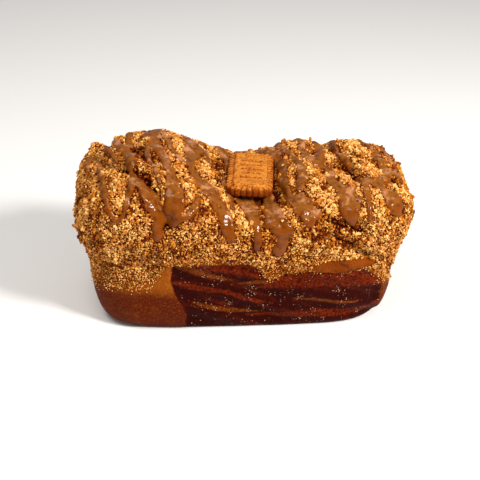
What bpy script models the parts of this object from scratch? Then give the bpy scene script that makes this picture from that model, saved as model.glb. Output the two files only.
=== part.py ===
"""Crumble-topped babka loaf, baked in a loaf tin, with caramel drizzle and one biscuit on top.

Metres, +Z up. The origin is the middle of the loaf's footprint, on the surface that it rests on.
+X runs along the loaf and -Y is the front, the side where the swirl of filling shows.
A place on the loaf is given as a distance along X and a turn about the loaf's long middle line:
0 degrees is straight up, 90 degrees is level to the front and -90 degrees is level to the back.
"""

import math
import random

import bmesh
import bpy
from mathutils import Euler, Matrix, Vector, noise
from mathutils.bvhtree import BVHTree

MM = 0.001

# The loaf: a foot shaped by the tin, under a wider crown that rose over the rim
CROWN_LENGTH = 231 * MM
CROWN_DEPTH = 115 * MM
CROWN_RISE = 36 * MM
WAIST_HEIGHT = 77 * MM
OVERHANG = 4.5 * MM
OVERHANG_DROP = 26 * MM
END_TAPER = 8 * MM
SIDE_TAPER = 6 * MM
FOOT_FLAT = 1.5 * MM
PLAN_POWER = 4.6
DOME_POWER = 3.2
FOOT_POWER = 12.0
MIDDLE_LINE_HEIGHT = 50 * MM
CELLS_ALONG = 34
CELLS_ACROSS = 17
CELLS_UP = 13
SOFT_RELIEF = 1.6 * MM
SOFT_RELIEF_SCALE = 26 * MM
CRUMBLE_RELIEF = 1.6 * MM
CRUMBLE_RELIEF_SCALE = 6 * MM
RELIEF_STARTS = 8 * MM

# The two humps of the crown and the saddle between them, as heights added to the dome
HUMPS = (
    {"x": -74 * MM, "spread": 31 * MM, "height": 7 * MM},
    {"x": 4 * MM, "spread": 32 * MM, "height": -16.5 * MM},
    {"x": 60 * MM, "spread": 16 * MM, "height": -7 * MM},
)

# Clefts where one strand of the twist dives under the other: stops of (x in mm, turn in degrees).
# The twist looks the same after half a turn about Z, so each cleft comes again on the far side.
CLEFTS = (
    {"depth": 6.0 * MM, "reach": 6.0 * MM, "stops": ((-104, -25), (-92, 6), (-68, 24), (-53, 52))},
    {"depth": 4.5 * MM, "reach": 5.0 * MM, "stops": ((38, 42), (48, 49), (74, 58))},
    {"depth": 5.0 * MM, "reach": 5.5 * MM, "stops": ((62, -8), (72, 4), (76, 19))},
    {"depth": 3.5 * MM, "reach": 4.5 * MM, "stops": ((56, 61), (82, 77))},
    {"depth": 4.0 * MM, "reach": 6.0 * MM, "stops": ((-20, -34), (-18, 0), (-19, 20))},
    {"depth": 3.0 * MM, "reach": 7.0 * MM, "stops": ((-8, 32), (12, 33))},
)

# Height of the crumble's lower edge along the front, as stops of (x in mm, z in mm)
CRUMBLE_EDGE = ((-120, 30), (-56, 40), (-50, 62), (0, 60), (30, 47), (76, 41), (96, 30), (120, 28))
LOBE_END_X = -50 * MM
SWIRL_END_X = 100 * MM
SWIRL_RECESS = 2.5 * MM
SWIRL_FADE = 6 * MM
SWIRL_LAYER_PITCH = 20 * MM
SWIRL_LAYER_SLOPE = 0.35
SWIRL_LAYER_RELIEF = 0.9 * MM

# Caramel ribbons, from the back over the top to the front.
# Each has its width in mm and stops of (x in mm, turn in degrees).
RIBBONS = (
    {"width": 5, "stops": ((-101, -46), (-98, 7), (-94, 34), (-86, 49), (-78, 44), (-76, 28))},
    {"width": 9, "stops": ((-92, -52), (-78, -6), (-78, 14), (-70, 34), (-59, 45), (-59, 59))},
    {"width": 9, "stops": ((-66, -57), (-61, -10), (-52, 16), (-50, 30), (-50, 54))},
    {"width": 5, "stops": ((-50, 52), (-41, 50), (-33, 43), (-33, 30))},
    {"width": 11, "stops": ((-40, -50), (-34, -16), (-40, 18), (-27, 33), (-17, 48), (-14, 62))},
    {"width": 7, "stops": ((-20, -60), (-15, -22), (-16, 12), (-12, 44))},
    {"width": 6, "stops": ((-10, 34), (-2, 43), (4, 58), (4, 68))},
    {"width": 8, "stops": ((3, 36), (3, 53))},
    {"width": 8, "stops": ((12, 38), (17, 52), (21, 60), (19, 68))},
    {"width": 8, "stops": ((16, -54), (22, -25), (27, 3), (26, 20), (31, 37))},
    {"width": 14, "stops": ((31, 38), (36, 46), (37, 53))},
    {"width": 6, "stops": ((30, -48), (35, -9), (38, 18), (33, 32))},
    {"width": 9, "stops": ((44, -58), (39, -8), (50, 13), (58, 29), (65, 42), (67, 54))},
    {"width": 8, "stops": ((62, -50), (58, -24), (69, 8), (68, 22), (82, 27), (97, 20))},
    {"width": 4, "stops": ((70, 30), (77, 41), (79, 52))},
    {"width": 11, "stops": ((83, 31), (92, 38), (96, 47))},
    {"width": 6, "stops": ((88, -52), (82, -18), (88, 12))},
)
RIBBON_THICKNESS = 2.6 * MM
RIBBON_STEP = 10 * MM
RIBBON_WAVER = 0.1
RIBBON_WAVER_STEP = 2.1
RIBBON_TIP = 0.7
RIBBON_DRIP = 1.15
POINTS_PER_SPAN = 12

# Lumps of crumble that are large enough to tell apart, largest first
LUMP_COUNT = 86
LUMP_LARGEST = 12 * MM
LUMP_SMALLEST = 6.5 * MM
LUMP_SPACING = 0.72
LUMP_STAND_OUT = 0.05
LUMP_SPREAD = Vector((1.2, 1.0, 0.55))
LUMP_SEED = 7

# The biscuit that lies across the saddle
BISCUIT_LENGTH = 60 * MM
BISCUIT_WIDTH = 31.5 * MM
BISCUIT_THICKNESS = 7 * MM
BISCUIT_CENTRE = Vector((4.6 * MM, -0.9 * MM, 99.8 * MM))
BISCUIT_TILT = Euler((math.radians(-2), math.radians(1), math.radians(-7)))
BISCUIT_GAP = 0.3 * MM
BISCUIT_CORNER = 7.5 * MM
BISCUIT_CLEAR_HEIGHT = 15 * MM
SCALLOP_PITCH = 4.4 * MM
SCALLOP_DEPTH = 1.0 * MM
POINTS_PER_SCALLOP = 3
BORDER_WIDTH = 4.2 * MM
BORDER_DROP = 0.9 * MM
SIDE_DRAW = 0.8 * MM
BAR_COUNT = 5
BAR_SIZE = Vector((13 * MM, 1.8 * MM, 1.4 * MM))
BAR_PITCH = 6.5 * MM

SMALL = 0.01 * MM


def clear_scene():
    for obj in list(bpy.data.objects):
        bpy.data.objects.remove(obj, do_unlink=True)


def mesh_object(name, bm, collection=None):
    mesh = bpy.data.meshes.new(name)
    bm.to_mesh(mesh)
    bm.free()
    obj = bpy.data.objects.new(name, mesh)
    (collection or bpy.context.scene.collection).objects.link(obj)
    return obj


def material(name, colour, roughness):
    made = bpy.data.materials.new(name)
    made.use_nodes = True
    shader = made.node_tree.nodes["Principled BSDF"]
    shader.inputs["Base Color"].default_value = (*colour, 1.0)
    shader.inputs["Roughness"].default_value = roughness
    shader.inputs["Metallic"].default_value = 0.0
    return made


def smooth_step(value):
    value = min(1.0, max(0.0, value))
    return value * value * (3 - 2 * value)


def bump(value, centre, spread):
    """A smooth bump of height 1 at centre, which fades out over about twice the spread."""
    return math.exp(-(((value - centre) / spread) ** 2))


def read_stops(stops, value):
    """The second number of the stops at value, in a straight line between its neighbours."""
    for (x0, y0), (x1, y1) in zip(stops, stops[1:]):
        if value <= x1:
            return y0 + (y1 - y0) * max(0.0, (value - x0) / (x1 - x0))
    return stops[-1][1]


def curve_through(stops):
    """Points of a smooth curve through the stops."""
    ends = [stops[0], *stops, stops[-1]]
    points = []
    for before, start, end, after in zip(ends, ends[1:], ends[2:], ends[3:]):
        for i in range(POINTS_PER_SPAN):
            t = i / POINTS_PER_SPAN
            points.append(tuple(
                b + 0.5 * t * (c - a + t * (2 * a - 5 * b + 4 * c - d + t * (3 * (b - c) + d - a)))
                for a, b, c, d in zip(before, start, end, after)
            ))
    points.append(stops[-1])
    return points


def plain_point(start):
    """The loaf's surface without its relief, on the ray from the middle of its waist through start."""
    rise = CROWN_RISE if start.z > 0 else WAIST_HEIGHT + FOOT_FLAT
    power = DOME_POWER if start.z > 0 else FOOT_POWER
    plan = (
        abs(start.x / (CROWN_LENGTH / 2)) ** PLAN_POWER
        + abs(start.y / (CROWN_DEPTH / 2)) ** PLAN_POWER
    )
    size = (plan ** (power / PLAN_POWER) + abs(start.z / rise) ** power) ** (1 / power)
    point = start / size
    if point.z > 0:
        added = sum(h["height"] * bump(point.x, h["x"], h["spread"]) for h in HUMPS)
        point.z += added * point.z / CROWN_RISE
    else:
        down = min(1.0, -point.z / WAIST_HEIGHT)
        tuck = OVERHANG * smooth_step(-point.z / OVERHANG_DROP)
        point.x *= 1 - (tuck + END_TAPER * down) / (CROWN_LENGTH / 2)
        point.y *= 1 - (tuck + SIDE_TAPER * down) / (CROWN_DEPTH / 2)
    point.z = max(0.0, point.z + WAIST_HEIGHT)
    return point


def turn_of(point):
    return math.degrees(math.atan2(-point.y, point.z - MIDDLE_LINE_HEIGHT))


def distance_to_cleft(x, turn, stops):
    """Distance over the surface, in metres, from a place to the line through the stops."""
    per_degree = CROWN_DEPTH / 2 * math.radians(1)
    here = Vector((x, turn * per_degree))
    places = [Vector((stop_x * MM, stop_turn * per_degree)) for stop_x, stop_turn in stops]
    best = math.inf
    for a, b in zip(places, places[1:]):
        along = min(1.0, max(0.0, (here - a).dot(b - a) / (b - a).length_squared))
        best = min(best, (here - a.lerp(b, along)).length)
    return best


def front_x(point):
    """Distance along the loaf as the front has it: the back repeats the front, turned half round."""
    return point.x if point.y < 0 else -point.x


def bare_depth(point):
    """How far a point lies below the crumble's lower edge; above the edge it is negative."""
    return read_stops(CRUMBLE_EDGE, front_x(point) / MM) * MM - point.z


def swirl_share(point):
    """1 on the long sides, where the cut strand shows its layers of filling, and 0 elsewhere."""
    x = front_x(point)
    past_lobe = smooth_step((x - LOBE_END_X) / SWIRL_FADE)
    before_end = smooth_step((SWIRL_END_X - x) / SWIRL_FADE)
    return past_lobe * before_end * smooth_step(bare_depth(point) / SWIRL_FADE)


def relief(point):
    """How far the real surface stands out from the plain one."""
    turn = turn_of(point)
    height = SOFT_RELIEF * noise.noise(point / SOFT_RELIEF_SCALE)
    crumbled = 1 - smooth_step(bare_depth(point) / SWIRL_FADE)
    height += crumbled * CRUMBLE_RELIEF * noise.noise(point / CRUMBLE_RELIEF_SCALE)
    for side in (1, -1):
        for cleft in CLEFTS:
            away = distance_to_cleft(point.x * side, turn * side, cleft["stops"])
            height -= cleft["depth"] * bump(away, 0, cleft["reach"])
    layer = (point.z + SWIRL_LAYER_SLOPE * front_x(point)) / SWIRL_LAYER_PITCH
    ridges = SWIRL_LAYER_RELIEF * math.sin(math.tau * layer)
    height += swirl_share(point) * (ridges - SWIRL_RECESS)
    return height * smooth_step(point.z / RELIEF_STARTS)


def loaf_core():
    """A box of even cells, each corner moved out to the loaf's surface and then by its relief."""
    bm = bmesh.new()
    bmesh.ops.create_cube(bm, size=1.0)
    spans = (CROWN_LENGTH, CROWN_DEPTH, WAIST_HEIGHT + CROWN_RISE)
    bmesh.ops.scale(bm, vec=spans, verts=bm.verts)
    bmesh.ops.translate(bm, vec=(0, 0, (CROWN_RISE - WAIST_HEIGHT) / 2), verts=bm.verts)
    lows = (-CROWN_LENGTH / 2, -CROWN_DEPTH / 2, -WAIST_HEIGHT)
    for axis, cells in enumerate((CELLS_ALONG, CELLS_ACROSS, CELLS_UP)):
        normal = Vector([float(i == axis) for i in range(3)])
        for i in range(1, cells):
            bmesh.ops.bisect_plane(
                bm,
                geom=bm.verts[:] + bm.edges[:] + bm.faces[:],
                plane_co=normal * (lows[axis] + spans[axis] * i / cells),
                plane_no=normal,
            )
    for vert in bm.verts:
        vert.co = plain_point(vert.co)
    bmesh.ops.recalc_face_normals(bm, faces=bm.faces)
    bm.normal_update()
    moves = [vert.normal * relief(vert.co) for vert in bm.verts]
    for vert, move in zip(bm.verts, moves):
        vert.co += move
    flat = [face for face in bm.faces if all(vert.co.z < SMALL for vert in face.verts)]
    bmesh.ops.dissolve_faces(bm, faces=flat)
    bmesh.ops.triangulate(bm, faces=bm.faces)
    bmesh.ops.recalc_face_normals(bm, faces=bm.faces)
    return bm


def surface_at(tree, x, turn):
    """Place and outward normal on the core at x metres along and turn degrees round."""
    angle = math.radians(turn)
    out = Vector((0, -math.sin(angle), math.cos(angle)))
    place, normal, _, _ = tree.ray_cast(Vector((x, 0, MIDDLE_LINE_HEIGHT)), out)
    return place, normal


def caramel_ribbon(number, ribbon, tree, collection):
    """A round tube, sunk so deep that it stands out as a low and wide ridge."""
    width = ribbon["width"] * MM
    radius = (width**2 / 4 + RIBBON_THICKNESS**2) / (2 * RIBBON_THICKNESS)
    dense = [surface_at(tree, x * MM, turn) for x, turn in curve_through(ribbon["stops"])]
    kept = [dense[0]]
    for place, normal in dense[1:]:
        if (place - kept[-1][0]).length >= RIBBON_STEP:
            kept.append((place, normal))
    data = bpy.data.curves.new(f"ribbon_line_{number}", "CURVE")
    data.dimensions = "3D"
    data.bevel_depth = 1.0
    data.bevel_resolution = 1
    data.use_fill_caps = True
    line = data.splines.new("POLY")
    line.points.add(len(kept) - 1)
    swells = [1 + RIBBON_WAVER * math.sin(RIBBON_WAVER_STEP * i + number) for i in range(len(kept))]
    swells[0] = swells[-1] = RIBBON_TIP
    swells[-2] = RIBBON_DRIP
    for (place, normal), swell, point in zip(kept, swells, line.points):
        point.co = (*(place - normal * (radius - RIBBON_THICKNESS)), 1.0)
        point.radius = radius * swell
    curve = bpy.data.objects.new(f"ribbon_line_{number}", data)
    bpy.context.scene.collection.objects.link(curve)
    graph = bpy.context.evaluated_depsgraph_get()
    bm = bmesh.new()
    bm.from_mesh(bpy.data.meshes.new_from_object(curve.evaluated_get(graph)))
    bpy.data.objects.remove(curve, do_unlink=True)
    bmesh.ops.remove_doubles(bm, verts=bm.verts, dist=SMALL)
    bmesh.ops.recalc_face_normals(bm, faces=bm.faces)
    mesh_object(f"ribbon_{number}", bm, collection)


def lump_start(draw):
    """A random point of the box round the loaf: its top more often than its sides and ends."""
    start = Vector([draw.uniform(-1, 1) * half for half in (CROWN_LENGTH / 2, CROWN_DEPTH / 2, 1)])
    start.z = draw.uniform(-WAIST_HEIGHT, CROWN_RISE)
    side = draw.choices(("end", "side", "top"), (1, 2, 4))[0]
    if side == "top":
        start.z = CROWN_RISE
    elif side == "side":
        start.y = draw.choice((-1, 1)) * CROWN_DEPTH / 2
    else:
        start.x = draw.choice((-1, 1)) * CROWN_LENGTH / 2
    return start


def crumble_lump(draw, size, place, normal):
    bm = bmesh.new()
    bmesh.ops.create_icosphere(bm, subdivisions=1, radius=size / 2)
    for vert in bm.verts:
        vert.co *= draw.uniform(0.78, 1.18)
    turned = Euler([draw.uniform(0, math.tau) for _ in range(3)]).to_matrix().to_4x4()
    bmesh.ops.transform(bm, matrix=turned, verts=bm.verts)
    bmesh.ops.scale(bm, vec=LUMP_SPREAD, verts=bm.verts)
    laid = normal.to_track_quat("Z", "Y").to_matrix().to_4x4()
    laid.translation = place + normal * size * LUMP_STAND_OUT
    bmesh.ops.transform(bm, matrix=laid, verts=bm.verts)
    return bm


def crumble_lumps(tree, collection):
    """Irregular lumps, largest first, spread evenly over what the crumble covers."""
    draw = random.Random(LUMP_SEED)
    placed = []
    while len(placed) < LUMP_COUNT:
        share = len(placed) / LUMP_COUNT
        size = LUMP_LARGEST + (LUMP_SMALLEST - LUMP_LARGEST) * share
        place, normal, _, _ = tree.find_nearest(plain_point(lump_start(draw)))
        crowded = any((place - other).length < LUMP_SPACING * (size + wide) for other, wide in placed)
        if crowded or bare_depth(place) > -size:
            continue
        placed.append((place, size))
        mesh_object(f"lump_{len(placed)}", crumble_lump(draw, size, place, normal), collection)


def applied_boolean(obj, operation, **operand):
    """The object's mesh with the Boolean applied, or with its collection joined to it."""
    boolean = obj.modifiers.new("boolean", "BOOLEAN")
    boolean.operation = operation
    boolean.solver = "EXACT"
    for name, value in operand.items():
        setattr(boolean, name, value)
    graph = bpy.context.evaluated_depsgraph_get()
    mesh = bpy.data.meshes.new_from_object(obj.evaluated_get(graph))
    obj.modifiers.remove(boolean)
    obj.data = mesh


def keep_outer_shell(obj):
    """Fills the hollows that fusing sealed and drops loose scraps, by keeping the largest shell."""
    bm = bmesh.new()
    bm.from_mesh(obj.data)
    bmesh.ops.remove_doubles(bm, verts=bm.verts, dist=SMALL)
    waiting = set(bm.verts)
    shells = []
    while waiting:
        front = [waiting.pop()]
        shell = list(front)
        while front:
            for edge in front.pop().link_edges:
                for vert in edge.verts:
                    if vert in waiting:
                        waiting.remove(vert)
                        front.append(vert)
                        shell.append(vert)
        shells.append(shell)
    shells.sort(key=len)
    bmesh.ops.delete(bm, geom=[vert for shell in shells[:-1] for vert in shell], context="VERTS")
    bm.to_mesh(obj.data)
    bm.free()


def rounded_outline(inset, count):
    """Count points at even steps round a rounded rectangle, inset from the biscuit's edge."""
    half = Vector((BISCUIT_WIDTH / 2 - inset, BISCUIT_LENGTH / 2 - inset))
    corner = BISCUIT_CORNER - inset
    loop = []
    for quarter, (side_x, side_y) in enumerate(((1, 1), (-1, 1), (-1, -1), (1, -1))):
        centre = Vector((side_x * (half.x - corner), side_y * (half.y - corner)))
        for i in range(9):
            angle = math.radians(90 * quarter + 90 * i / 8)
            loop.append(centre + corner * Vector((math.cos(angle), math.sin(angle))))
    loop.append(loop[0])
    spans = [(b - a).length for a, b in zip(loop, loop[1:])]
    step = sum(spans) / count
    points = []
    gone = 0.0
    for a, b, span in zip(loop, loop[1:], spans):
        while len(points) < count and len(points) * step < gone + span:
            points.append(a.lerp(b, (len(points) * step - gone) / span))
        gone += span
    return points


def biscuit_body(grow=0.0, notch=SCALLOP_DEPTH, extra_height=0.0):
    """A slab with scalloped sides and a border that slopes down round its raised middle."""
    around = 2 * (BISCUIT_WIDTH + BISCUIT_LENGTH) - 2 * BISCUIT_CORNER
    count = round(around / SCALLOP_PITCH) * POINTS_PER_SCALLOP
    top = BISCUIT_THICKNESS / 2
    levels = (
        (SIDE_DRAW - grow, -top - grow, notch / 2),
        (-grow, -top / 2, notch),
        (-grow, top - BORDER_DROP, notch),
        (BORDER_WIDTH if extra_height == 0 else -grow, top + grow + extra_height, 0.0),
    )
    bm = bmesh.new()
    rings = []
    for inset, z, cut in levels:
        notched = rounded_outline(inset + cut, count)
        plain = rounded_outline(inset, count)
        chosen = [notched[i] if i % POINTS_PER_SCALLOP == 0 else plain[i] for i in range(count)]
        rings.append([bm.verts.new((*point, z)) for point in chosen])
    for lower, upper in zip(rings, rings[1:]):
        for i in range(count):
            j = (i + 1) % count
            bm.faces.new((lower[i], lower[j], upper[j], upper[i]))
    bm.faces.new(reversed(rings[0]))
    bm.faces.new(rings[-1])
    bmesh.ops.recalc_face_normals(bm, faces=bm.faces)
    return bm


def lay_on_saddle(bm):
    laid = Matrix.LocRotScale(BISCUIT_CENTRE, BISCUIT_TILT, None)
    bmesh.ops.transform(bm, matrix=laid, verts=bm.verts)
    return bm


def pressed_bars():
    """A row of plain bars, pressed across the middle of the biscuit's top."""
    bm = bmesh.new()
    for i in range(BAR_COUNT):
        made = bmesh.ops.create_cube(bm, size=1.0)["verts"]
        bmesh.ops.scale(bm, vec=BAR_SIZE, verts=made)
        y = (i - (BAR_COUNT - 1) / 2) * BAR_PITCH
        bmesh.ops.translate(bm, vec=(0, y, BISCUIT_THICKNESS / 2), verts=made)
    return bm


def make_biscuit():
    biscuit = mesh_object("biscuit", lay_on_saddle(biscuit_body()))
    bars = mesh_object("bars", lay_on_saddle(pressed_bars()))
    applied_boolean(biscuit, "DIFFERENCE", object=bars)
    bpy.data.objects.remove(bars, do_unlink=True)
    biscuit.data.materials.append(material("biscuit_bake", (0.56, 0.235, 0.06), 0.75))
    return biscuit


def make_loaf():
    """The core with its ribbons and lumps fused on, and a bed for the biscuit cut into the top."""
    core = loaf_core()
    tree = BVHTree.FromBMesh(core)
    loaf = mesh_object("loaf", core)
    toppings = bpy.data.collections.new("toppings")
    bpy.context.scene.collection.children.link(toppings)
    for number, ribbon in enumerate(RIBBONS):
        caramel_ribbon(number, ribbon, tree, toppings)
    crumble_lumps(tree, toppings)
    applied_boolean(loaf, "UNION", operand_type="COLLECTION", collection=toppings)
    for obj in list(toppings.objects):
        bpy.data.objects.remove(obj, do_unlink=True)
    bed = mesh_object("bed", lay_on_saddle(biscuit_body(BISCUIT_GAP, 0.0, BISCUIT_CLEAR_HEIGHT)))
    applied_boolean(loaf, "DIFFERENCE", object=bed)
    bpy.data.objects.remove(bed, do_unlink=True)
    keep_outer_shell(loaf)
    loaf.data.materials.append(material("crumble_crust", (0.42, 0.20, 0.06), 0.85))
    return loaf


def main():
    clear_scene()
    make_biscuit()
    make_loaf()


main()
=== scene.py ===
"""Looks of a babka loaf with crumble, caramel ribbons and a biscuit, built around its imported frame.

Metres, +Z up. +X runs along the loaf and -Y is its front. A place on the loaf is given as a distance
along X and a turn about the loaf's long middle line: 0 degrees is straight up and 90 is level to the
front. The shape of the bread repeats the named sizes of the part, with finer relief.
"""

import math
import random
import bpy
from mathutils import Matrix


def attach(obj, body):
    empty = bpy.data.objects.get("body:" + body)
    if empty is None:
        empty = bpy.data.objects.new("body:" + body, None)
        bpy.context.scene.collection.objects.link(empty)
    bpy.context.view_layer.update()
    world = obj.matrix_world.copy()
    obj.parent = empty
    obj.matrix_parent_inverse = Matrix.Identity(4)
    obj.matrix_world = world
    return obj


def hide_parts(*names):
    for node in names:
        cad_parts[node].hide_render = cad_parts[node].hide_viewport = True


bl_info = {
    "name": "Babka Loaf",
    "version": (1, 0, 0),
    "blender": (4, 5, 0),
    "location": "View3D > Sidebar > Babka",
    "description": "Builds a crumble-topped babka loaf, piece by piece, around its packed frame",
    "category": "Add Mesh",
}

import bmesh
import bpy
import numpy as np
from bpy.props import FloatProperty, FloatVectorProperty, IntProperty, PointerProperty
from mathutils import Euler, Matrix, Vector, kdtree, noise
from mathutils.bvhtree import BVHTree

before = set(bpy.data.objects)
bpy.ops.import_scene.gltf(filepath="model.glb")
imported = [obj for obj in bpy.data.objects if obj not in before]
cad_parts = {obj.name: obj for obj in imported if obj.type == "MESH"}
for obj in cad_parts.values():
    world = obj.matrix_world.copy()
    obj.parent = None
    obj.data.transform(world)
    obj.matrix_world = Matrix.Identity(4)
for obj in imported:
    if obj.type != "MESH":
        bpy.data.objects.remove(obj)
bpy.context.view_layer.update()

MM = 0.001

# The bread's shape, as the part has it
PLAN_POWER = 4.6
DOME_POWER = 3.2
FOOT_POWER = 12.0
FOOT_FLAT = 1.5 * MM
MIDDLE_LINE_HEIGHT = 50 * MM
# The broad hump and dips of the crown, each as (x, spread, height)
HUMPS = (
    (-74 * MM, 31 * MM, 7 * MM),
    (4 * MM, 32 * MM, -16.5 * MM),
    (60 * MM, 16 * MM, -7 * MM),
)
# Grooves of the twist, each as (depth, reach, stops), with stops of (x in mm, turn in degrees)
CLEFTS = (
    (4.5 * MM, 3.2 * MM, ((-104, -25), (-94, 2))),
    (5.5 * MM, 4.8 * MM, ((-90, 8), (-68, 24), (-53, 52))),
    (4.5 * MM, 5.0 * MM, ((38, 42), (48, 49), (74, 58))),
    (5.0 * MM, 5.5 * MM, ((62, -8), (72, 4), (76, 19))),
    (3.5 * MM, 4.5 * MM, ((56, 61), (82, 77))),
    (4.0 * MM, 6.0 * MM, ((-20, -34), (-18, 0), (-19, 20))),
    (3.0 * MM, 7.0 * MM, ((-8, 32), (12, 33))),
)
CREASES = (
    (2.4 * MM, 1.8 * MM, ((-94, 83), (-84, 83), (-72, 84), (-58, 81))),
    (2.4 * MM, 1.8 * MM, ((50, 64), (61, 66), (72, 72), (82, 78))),
)
# Heaps of crumble, given in the same way: they stand out where their depth is below 0
CLUMPS = (
    (-5.0 * MM, 3.5 * MM, ((-102, -38), (-101, -32))),
    (5.0 * MM, 4.0 * MM, ((-95, -40), (-94, -26))),
    (-2.0 * MM, 8.0 * MM, ((-109, -30), (-109, -8))),
    (-2.0 * MM, 7.0 * MM, ((42, -34), (50, -30))),
    (-2.5 * MM, 7.0 * MM, ((60, -34), (69, -30))),
    (-1.5 * MM, 10.0 * MM, ((108, -20), (108, 15))),
)
# Where the crumbs are darker, or lighter where it is below 0: by how much, over what reach, and the stops;
# the first is a caramel stain, the third painted shade at the loaf's ends, the fourth painted light, and
# the second and fifth a darker and a lighter patch
STAIN_AND_PAINTED_LIGHT_PATCHES = (
    (0.28, 6.0 * MM, ((43, 57), (54, 62), (62, 67))),
    (0.2, 4.0 * MM, ((-71, 20), (-64, 28), (-56, 33))),
    (0.35, 5.0 * MM, ((-112, 30), (-112, 75))),
    (-0.2, 5.0 * MM, ((-94, 0), (-84, 10))),
    (-0.12, 9.0 * MM, ((90, 68), (102, 72))),
)
# Where the crumble ends above the foot, as (x, height) in mm, for all crumbs and for the coarser ones
CRUMBLE_EDGE = (
    (-120, 30), (-96, 39), (-78, 41), (-66, 44), (-59, 51), (-54, 61), (0, 60), (6, 57), (11, 51), (16, 46),
    (21, 47), (27, 50), (34, 52), (80, 52), (86, 47), (92, 43), (100, 36), (120, 28),
)
GRAIN_EDGE = (
    (-120, 42), (-104, 48), (-96, 53), (-60, 58), (-52, 63), (0, 62), (8, 60), (16, 56), (34, 58), (74, 55),
    (92, 49), (104, 42), (120, 34),
)
# How far below those edges the crumbs fade out, as (x in mm, share of the full fade)
EDGE_FADE = ((-120, 1), (-62, 1), (-54, 0.35), (-4, 0.35), (8, 0.8), (84, 0.8), (100, 1), (120, 1))
EDGE_RAGGED = 2.4 * MM
EDGE_RAGGED_SIZE = 6 * MM
# How ragged the bread's own colours end there, in blots of what size, and over what fade
CRUST_RAGGED = 3 * MM
CRUST_RAGGED_SIZE = 5 * MM
CRUST_FADE = 3 * MM
# From what depth a cleft lies bare, over what fade, and how much of that holds for a crease
CLEFT_STARTS = 2.4 * MM
CLEFT_FADE = 2.4 * MM
CREASE_BARE = 0.4
# Knobs of the crumble, as (width, share of their height), and how far and how finely they are bent
KNOBS = ((12 * MM, 0.62), (6 * MM, 0.38))
KNOB_BEND = 2.5 * MM
KNOB_BEND_SIZE = 9 * MM

# The open swirl on each long side: where the lobe beside it ends, as (height, x) in mm, and its bands of
# dough, as (x, height, half width) in mm
LOBE_END = ((0, -44), (14, -44), (24, -47), (33, -52), (42, -54.5), (64, -53))
SWIRL_END_X = 98 * MM
SWIRL_RECESS = 2.5 * MM
SWIRL_FADE = 6 * MM
SWIRL_LAYER_PITCH = 20 * MM
SWIRL_LAYER_SLOPE = 0.35
SWIRL_LAYER_RELIEF = 0.9 * MM
ORANGE_BANDS = (
    ((-52, 61, 0), (-47, 58, 8), (-38, 53, 7.5), (-24, 46.5, 6), (-6, 41.5, 0)),
    ((-12, 38, 0), (0, 41, 2.4), (12, 42, 3.4), (26, 40, 0)),
    ((-40, 26, 0), (-28, 21, 3.4), (-8, 16, 3.4), (14, 13, 0)),
    ((24, 27, 0), (44, 25, 2.6), (66, 21, 3), (86, 20, 0)),
)
RED_BANDS = (
    ((-44, 60, 0), (-30, 56, 5), (-10, 53, 8), (6, 49, 7), (18, 44, 0)),
    ((-53, 43, 0), (-44, 40.5, 4), (-33, 37, 3.5), (-14, 33, 2), (0, 27, 3), (20, 22, 0)),
    ((4, 36, 0), (22, 40, 7), (50, 42, 10), (84, 40, 11), (100, 38, 8)),
    ((-6, 10, 0), (30, 12, 4), (70, 10, 5), (96, 14, 3)),
)
SOFT_RELIEF_SCALE = 26 * MM
RELIEF_STARTS = 8 * MM
# The bare oval of dough on each long side, at a radius from the middle line
BARE_DOUGH = {
    "x": 66 * MM, "turn": 85.5, "radius": 58 * MM, "long": 23 * MM, "high": 7.2 * MM, "tilt": 0.1,
    "stands_out": 2.2 * MM, "crispness": 4,
}

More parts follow.
